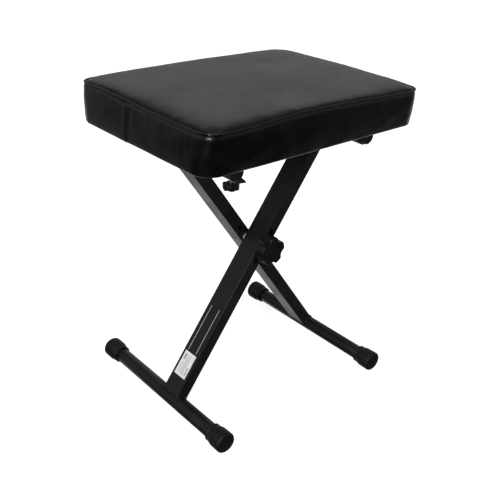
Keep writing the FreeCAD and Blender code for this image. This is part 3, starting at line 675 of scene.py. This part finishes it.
def cushion():
    """The stuffed cover as one closed piece, and the path of the piping in its seam."""
    xs = stations(SEAM_HALF[0], FINE_EDGE, CELL)
    ys = stations(SEAM_HALF[1], FINE_EDGE, CELL)
    joint = JOINT_Y + np.array(JOINT_GRID) * MM
    ys = np.sort(np.concatenate([ys[np.abs(ys - JOINT_Y) > JOINT_ZONE], joint]))
    fullness = START_FULLNESS
    top = top_panel(xs, ys, fullness)
    band, depths = side_band(rim(top), xs, ys, FINE_STEPS, fullness)
    coarse_x = stations(SEAM_HALF[0], COARSE_EDGE, COARSE_CELL)
    coarse_y = stations(SEAM_HALF[1], COARSE_EDGE, COARSE_CELL)
    swell, band_swell, levels = simulate(coarse_x, coarse_y, COARSE_STEPS)
    swell = smoothed(swell, 2, False)
    swell = resampled(resampled(swell, coarse_x, xs, 1), coarse_y, ys, 0)
    swell = smoothed(swell, 8, False)
    # The simulated rise is scaled so that the top stays under the cover's own height.
    rise = (TOP_LIMIT - top[..., 2].max()) / swell[..., 2].max()
    top += swell * [1, 1, rise]
    round_trip = np.concatenate([trip(coarse_x, coarse_y), [4]])
    band_swell = smoothed(band_swell, 1, True) * BAND_SHARE
    band_swell = np.concatenate([band_swell, band_swell[:, :1]], 1)
    band_swell = resampled(band_swell, round_trip, trip(xs, ys), 1)
    band += smoothed(resampled(band_swell, levels, depths, 0), 6, True)
    seam = rim(top)
    band = detail_band(band, depths)
    band[0] = seam
    gap = np.minimum(SEAM_HALF[0] - np.abs(top[..., 0]), SEAM_HALF[1] - np.abs(top[..., 1]))
    ripple = [noise.noise((x * 95, y * 95, 5.0)) for x, y in top[..., :2].reshape(-1, 2)]
    ripple = np.reshape(ripple, gap.shape) * 1.6 * PUCKER
    top[..., 2] += ripple * np.exp(-gap / (14 * MM)) * smooth_step(gap, 0, 2 * MM)
    inner = band[-1] + [0, 0, VINYL_THICKNESS]
    rings = [inner * [share, share, 1] for share in (1, 0.85, 0.55, 0.25)]
    points = np.concatenate([top.reshape(-1, 3), band[1:].reshape(-1, 3), *rings,
                             [[0, 0, inner[0, 2]]]])
    faces = closed_faces(*gap.shape, len(band) + len(rings))
    piece = new_piece("seat_cushion", points, faces, "seat", "vinyl")
    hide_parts("seat_cover", "seat_foam")
    return seam + outward_of(seam) * TUCK


def piping(path):
    """The cord covered in vinyl that is sewn into the seam."""
    run, _ = along_loop(path)
    radii = PIPING * (1 + 0.04 * wander(run / (9 * MM), 5))
    raised = path * (PIPING_INWARD, PIPING_INWARD, 1) + (0, 0, PIPING_RISE)
    points = sweep_loop(raised, radii, BEAD_SIDES)
    piece = new_piece("seat_piping", points, tube_faces(len(path), BEAD_SIDES, True), "seat", "vinyl",
                      "piping_vinyl")
    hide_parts("seat_welt")


# ------------------------------------------------------------------ under the seat
CLOTH_CELL = 5 * MM
CLOTH_THICKNESS = 0.3 * MM
CLOTH_SAG, CLOTH_CREASE = 0.9 * MM, 0.5 * MM
EDGE_SLACK = 0.6 * MM          # how far its edge draws in between staples
HELD_WITHIN, FREE_BEYOND = 2 * MM, 26 * MM      # of what holds the cloth
HOLDING_CLOTH = ("staples", "front_saddle", "rear_saddle", "front_hinge_strap",
                 "rear_hinge_strap")


def under_cloth():
    """The thin cloth stapled under the board, held up at its staples and fittings."""
    low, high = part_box("dust_cover")
    xs = np.linspace(low.x, high.x, int((high.x - low.x) / CLOTH_CELL) + 1)
    ys = np.linspace(low.y, high.y, int((high.y - low.y) / CLOTH_CELL) + 1)
    held = KDTree(sum(len(NODES[name].data.vertices) for name in HOLDING_CLOTH))
    count = 0
    for name in HOLDING_CLOTH:
        for vertex in NODES[name].data.vertices:
            if vertex.co.z > low.z - 1.5 * MM:
                held.insert(vertex.co, count)
                count += 1
    held.balance()
    points = []
    for y in ys:
        for x in xs:
            reach = held.find((x, y, low.z))[2]
            free = smooth_step(reach, HELD_WITHIN, FREE_BEYOND)
            wave = 0.6 + 0.8 * noise.noise((x * 31, y * 31, 2.0))
            crease = abs(noise.noise((x * 60 + y * 25, y * 22 - x * 9, 7.0)))
            z = high.z - 0.1 * MM - free * (CLOTH_SAG * wave + CLOTH_CREASE * crease)
            edge = min(x - low.x, high.x - x, y - low.y, high.y - y)
            slack = free * EDGE_SLACK if edge < 1 * MM else 0.0
            pull = Vector((-x, -y, 0)).normalized() * slack
            points.append((x + pull.x, y + pull.y, z))
    wide = len(xs)
    faces = [(j * wide + i, (j + 1) * wide + i, (j + 1) * wide + i + 1, j * wide + i + 1)
             for j in range(len(ys) - 1) for i in range(wide - 1)]
    piece = new_piece("under_cloth", points, faces, "seat", "dust_cloth")
    thick = piece.modifiers.new("thickness", "SOLIDIFY")
    thick.thickness = CLOTH_THICKNESS
    thick.offset = 0
    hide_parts("dust_cover")


# ------------------------------------------------------------------ welds
TUBE_RADIUS = (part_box("left_foot_tube")[1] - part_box("left_foot_tube")[0]).z / 2
LEG_THICKNESS = 22.4 * MM
LEG_CORNER = 2.0 * MM
BEAD = 1.9 * MM                # radius
BEAD_OUT, BEAD_UP = 0.35 * MM, 0.3 * MM         # how far its middle is off the leg and the tube
BEAD_STEP = 0.45 * MM
CORNER_STEPS = 6
RIPPLE_PITCH = 2.4 * MM


def middle_of(node):
    low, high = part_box(node)
    return (low + high) / 2


def weld(name, leg, tube, far_tube, body):
    """A rippled bead where a leg's rectangular end meets a round tube."""
    low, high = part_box(leg)
    foot, far = middle_of(tube), middle_of(far_tube)
    along = Vector((far.x - foot.x, 0, far.z - foot.z)).normalized()
    across = Vector((-along.z, 0, along.x))
    half_t = LEG_THICKNESS / 2 + BEAD_OUT
    half_y = (high.y - low.y) / 2 + BEAD_OUT
    corner = LEG_CORNER + BEAD_OUT
    outline = []
    for sign_t, sign_y, start in ((1, 1, 0), (-1, 1, 1), (-1, -1, 2), (1, -1, 3)):
        for step in range(CORNER_STEPS + 1):
            turn = (start + step / CORNER_STEPS) * math.pi / 2
            outline.append((sign_t * (half_t - corner) + corner * math.cos(turn),
                            sign_y * (half_y - corner) + corner * math.sin(turn)))
    outline = np.array(outline)
    starts, length = along_loop(outline)
    run = np.append(starts, length)
    closed = np.concatenate([outline, outline[:1]])
    places = np.linspace(0, length, int(length / BEAD_STEP), endpoint=False)
    path = []
    for place in places:
        t, y = (np.interp(place, run, closed[:, axis]) for axis in (0, 1))
        rise = math.sqrt(max((TUBE_RADIUS + BEAD_UP) ** 2 - t * t, 0))
        spot = foot + along * rise + across * t
        path.append((spot.x, (low.y + high.y) / 2 + y, spot.z))
    seed = len(name) + foot.x * 10
    uneven = 0.3 * wander(places / (8 * MM), seed)
    ripple = np.abs(np.sin(math.pi * (places / RIPPLE_PITCH + uneven)))
    radii = BEAD * (0.86 + 0.16 * ripple + 0.07 * wander(places / (6 * MM), seed + 3))
    points = sweep_loop(path, radii, BEAD_SIDES)
    new_piece(name, points, tube_faces(len(path), BEAD_SIDES, True), body, "powder_coat")


# ------------------------------------------------------------------ thumb screws
STUD_PITCH = 0.8 * MM
THREAD_DEPTH = 0.42 * MM


def threaded_stud(end):
    """A thumb screw's stud with its thread cut as a helix."""
    low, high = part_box(f"{end}_thumb_stud")
    centre = (low + high) / 2
    radius = (high.x - low.x) / 2
    sides, per_turn = 24, 8
    rows = int((high.z - low.z) / STUD_PITCH * per_turn)
    points = []
    for row in range(rows + 1):
        z = low.z + (high.z - low.z) * row / rows
        ends = min(row, rows - row) / per_turn
        for side in range(sides):
            turn = side / sides
            flank = abs((z / STUD_PITCH - turn) % 1 - 0.5) * 2
            # The profile is cut off flat at its crest and at its root.
            cut = THREAD_DEPTH * min(max(1.25 * flank - 0.12, 0), 1)
            r = radius - max(cut, THREAD_DEPTH * (1 - min(ends, 1)))
            angle = 2 * math.pi * turn
            points.append((centre.x + r * math.cos(angle), centre.y + r * math.sin(angle), z))
    faces = tube_faces(rows + 1, sides, False)
    faces += [tuple(range(sides - 1, -1, -1)), tuple(rows * sides + k for k in range(sides))]
    piece = new_piece(f"{end}_threaded_stud", points, faces, f"{end}_thumb_screw", "zinc_steel",
                      smooth=False)
    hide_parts(f"{end}_thumb_stud")


# ------------------------------------------------------------------ label
# Plain printed bars on the label: place along it, place across it, length and width, all as
# shares of the label, from its lower left corner.
LABEL_BARS = ((0.10, 0.78, 0.34, 0.10), (0.10, 0.62, 0.80, 0.045), (0.10, 0.51, 0.72, 0.045),
              (0.10, 0.40, 0.78, 0.045), (0.10, 0.24, 0.46, 0.045), (0.66, 0.12, 0.24, 0.18))
LABEL_LENGTH = 43 * MM
LABEL_HALF_THICKNESS = 0.1 * MM
PRINT_THICKNESS = 0.05 * MM


def label_print():
    """Plain grey bars in place of the label's wording."""
    low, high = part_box("leg_label")
    foot, top = middle_of("left_foot_tube"), middle_of("right_cross_tube")
    along = Vector((top.x - foot.x, 0, top.z - foot.z)).normalized()
    out = Vector((-along.z, 0, along.x))
    centre = (low + high) / 2 + out * LABEL_HALF_THICKNESS
    width = high.y - low.y
    points, faces = [], []
    for at, over, length, height in LABEL_BARS:
        first = len(points)
        for lift in (0, PRINT_THICKNESS):
            for a, b in ((at, over), (at + length, over), (at + length, over + height),
                         (at, over + height)):
                spot = centre + along * ((a - 0.5) * LABEL_LENGTH) + out * lift
                points.append((spot.x, centre.y + (0.5 - b) * width, spot.z))
        faces += [tuple(first + k for k in quad) for quad in
                  ((0, 1, 2, 3), (7, 6, 5, 4), (4, 5, 1, 0), (5, 6, 2, 1), (6, 7, 3, 2),
                   (7, 4, 0, 3))]
    new_piece("label_bars", points, faces, "front_frame", "white_label", "label_print",
              smooth=False)


# ------------------------------------------------------------------ softened edges
SOFTENED = {"powder_coat": 0.45 * MM, "knob_plastic": 0.5 * MM, "cap_rubber": 0.4 * MM,
            "plug_plastic": 0.3 * MM, "zinc_steel": 0.2 * MM}
UNSOFTENED = ("staples", "front_thumb_stud", "rear_thumb_stud")
SHARP_ANGLE = math.radians(38)


def soften_edges():
    """Give the hard edges of the steel and plastic parts a small rounding."""
    for part in frame["record"]["subparts"]:
        width = SOFTENED.get(part["material_slot"])
        node = NODES[part["node"]]
        if not width or part["node"] in UNSOFTENED:
            continue
        weld_points = node.modifiers.new("weld", "WELD")
        weld_points.merge_threshold = 0.002 * MM
        bevel = node.modifiers.new("rounding", "BEVEL")
        bevel.width = width
        bevel.segments = 2
        bevel.limit_method = "ANGLE"
        bevel.angle_limit = SHARP_ANGLE
        bevel.harden_normals = True


# ------------------------------------------------------------------ stage
CAMERA_AT = Vector((-0.7444, -0.8365, 0.8147))
CAMERA_YAW, CAMERA_PITCH, CAMERA_ROLL = (math.radians(a) for a in (42.011, 27.357, 2.459))
CAMERA_LENS = 52.69
DOME_RADIUS, DOME_SIDES, DOME_RINGS = 15.0, 48, 14
FLOOR_GLOW, DOME_GLOW = 0.85, 1.0
FLOOR_TONE, DOME_TONE = 0.9, 0.1
DARK_SIDE, BRIGHT_SIDE = 0.005, 0.70       # least glow, low down all round; glow beyond the bench
SKY_FALL = 0.35                            # how fast the bright side dims with height
BELOW_SHARE, HORIZON_SHARE = 1.25, 0.35    # its glow below and at the horizon, as shares
LEFT_HIGH, LEFT_LOW = 0.38, 0.005          # glow beyond the left end, above and below the horizon
RIGHT_HIGH = 0.25                          # the same beyond the right end, above it
FILL, OVERHEAD = 0.07, 0.25                # glow of the whole upper half, and more straight above
SUN_STRENGTH, SUN_ANGLE = 0.6, math.radians(40)
SUN_TILT = (math.radians(18), math.radians(-14), 0)
SOFTBOX_AT = Vector((-2.30, -1.20, 1.20))
SOFTBOX_SIZE, SOFTBOX_POWER = 0.6, 34


def camera():
    """A camera at the viewing angle of a person standing in front and to the left."""
    ahead = Vector((math.sin(CAMERA_YAW) * math.cos(CAMERA_PITCH),
                    math.cos(CAMERA_YAW) * math.cos(CAMERA_PITCH), -math.sin(CAMERA_PITCH)))
    right = Vector((math.cos(CAMERA_YAW), -math.sin(CAMERA_YAW), 0))
    up = right.cross(ahead)
    level = right * math.cos(CAMERA_ROLL) + up * math.sin(CAMERA_ROLL)
    upright = up * math.cos(CAMERA_ROLL) - right * math.sin(CAMERA_ROLL)
    turned = Matrix((level, upright, -ahead)).transposed()
    data = bpy.data.cameras.new("camera")
    data.lens = CAMERA_LENS
    data.sensor_width = 36
    eye = bpy.data.objects.new("camera", data)
    eye.matrix_world = Matrix.Translation(CAMERA_AT) @ turned.to_4x4()
    bpy.context.scene.collection.objects.link(eye)
    bpy.context.scene.camera = eye


def staged(name, points, faces, glow, tone):
    """A piece of the studio, plain and pale."""
    mesh = bpy.data.meshes.new(name)
    mesh.from_pydata([tuple(p) for p in points], [], faces)
    obj = bpy.data.objects.new(name, mesh)
    bpy.context.scene.collection.objects.link(obj)
    p = Paint(name, Roughness=0.9, Specular_IOR_Level=0.1)
    p.colour(p.blend(p.noise(2, 3), (tone, tone, tone), (tone - 0.02, tone - 0.02, tone - 0.02)))
    p.shader.inputs["Emission Color"].default_value = (1, 1, 1, 1)
    p.shader.inputs["Emission Strength"].default_value = glow
    mesh.materials.append(p.material)
    obj.visible_glossy = False
    return obj


def floor_and_backdrop():
    """A pale floor and, for the camera alone, a pale dome. Neither shows in the object's gloss."""
    r = DOME_RADIUS
    corners = [(-r, -r, 0), (r, -r, 0), (r, r, 0), (-r, r, 0)]
    staged("floor", corners, [(0, 1, 2, 3)], FLOOR_GLOW, FLOOR_TONE)
    points = []
    for ring in range(DOME_RINGS):
        rise = ring / DOME_RINGS * math.pi / 2
        for side in range(DOME_SIDES):
            turn = 2 * math.pi * side / DOME_SIDES
            points.append((r * math.cos(rise) * math.cos(turn), r * math.cos(rise) * math.sin(turn),
                           r * math.sin(rise)))
    top_ring = (DOME_RINGS - 1) * DOME_SIDES
    faces = tube_faces(DOME_RINGS, DOME_SIDES, False)
    faces.append(tuple(range(top_ring, top_ring + DOME_SIDES)))
    dome = staged("backdrop", points, faces, DOME_GLOW, DOME_TONE)
    dome.visible_diffuse = False
    dome.visible_transmission = False
    dome.visible_shadow = False


def studio():
    """Soft light: a bright side beyond the bench, dimmer glows at its ends and above it, a
    broad sun and a softbox."""
    world = bpy.data.worlds.new("studio")
    bpy.context.scene.world = world
    world.use_nodes = True
    g = Graph(world.node_tree)
    way = g.node("ShaderNodeTexCoord").outputs["Generated"]
    forward = Vector((math.sin(CAMERA_YAW), math.cos(CAMERA_YAW), 0))
    leftward = Vector((-math.cos(CAMERA_YAW), math.sin(CAMERA_YAW), 0))

    def along(direction):
        """How far the way looked in follows a direction."""
        made = g.node("ShaderNodeVectorMath", operation="DOT_PRODUCT")
        g.feed(made.inputs[0], way)
        made.inputs[1].default_value = direction
        return made.outputs["Value"]

    height = along((0, 0, 1))
    share = g.math("ADD", g.remap(height, -0.15, 0.15, BELOW_SHARE, HORIZON_SHARE),
                   g.remap(height, 0.15, 0.50, 0, 1 - HORIZON_SHARE))
    beyond = along(forward - Vector((0, 0, SKY_FALL)))
    bright = g.math("MULTIPLY", share, g.remap(beyond, 0.40, 0.80, 0, BRIGHT_SIDE))
    left = g.math("MULTIPLY", g.remap(along(leftward), 0.70, 0.95),
                  g.remap(height, -0.28, 0.30, LEFT_LOW, LEFT_HIGH))
    right = g.math("MULTIPLY", g.remap(along(-leftward), 0.60, 0.95),
                   g.remap(height, -0.32, 0.20, 0, RIGHT_HIGH))
    fill = g.math("ADD", g.remap(height, 0.0, 0.30, DARK_SIDE, FILL),
                  g.remap(height, 0.6, 1, 0, OVERHEAD))
    glow = g.math("ADD", g.math("ADD", bright, fill), g.math("ADD", left, right))
    background = g.tree.nodes["Background"]
    background.inputs["Color"].default_value = (1, 1, 1, 1)
    g.feed(background.inputs["Strength"], glow)
    data = bpy.data.lights.new("sun", "SUN")
    data.energy = SUN_STRENGTH
    data.angle = SUN_ANGLE
    sun = bpy.data.objects.new("sun", data)
    sun.rotation_euler = SUN_TILT
    bpy.context.scene.collection.objects.link(sun)
    data = bpy.data.lights.new("softbox", "AREA")
    data.energy = SOFTBOX_POWER
    data.shape = "DISK"
    data.size = SOFTBOX_SIZE
    softbox = bpy.data.objects.new("softbox", data)
    softbox.location = SOFTBOX_AT
    softbox.rotation_euler = (-SOFTBOX_AT).to_track_quat("-Z", "Y").to_euler()
    bpy.context.scene.collection.objects.link(softbox)
    bpy.context.scene.view_settings.view_transform = "Standard"


# ------------------------------------------------------------------ the whole bench
piping(cushion())
under_cloth()
weld("left_foot_weld", "front_leg", "left_foot_tube", "right_cross_tube", "front_frame")
weld("right_cross_weld", "front_leg", "right_cross_tube", "left_foot_tube", "front_frame")
weld("right_foot_weld", "rear_leg", "right_foot_tube", "left_cross_tube", "rear_frame")
weld("left_cross_weld", "rear_leg", "left_cross_tube", "right_foot_tube", "rear_frame")
for end in ("front", "rear"):
    threaded_stud(end)
label_print()
soften_edges()
floor_and_backdrop()
studio()
camera()
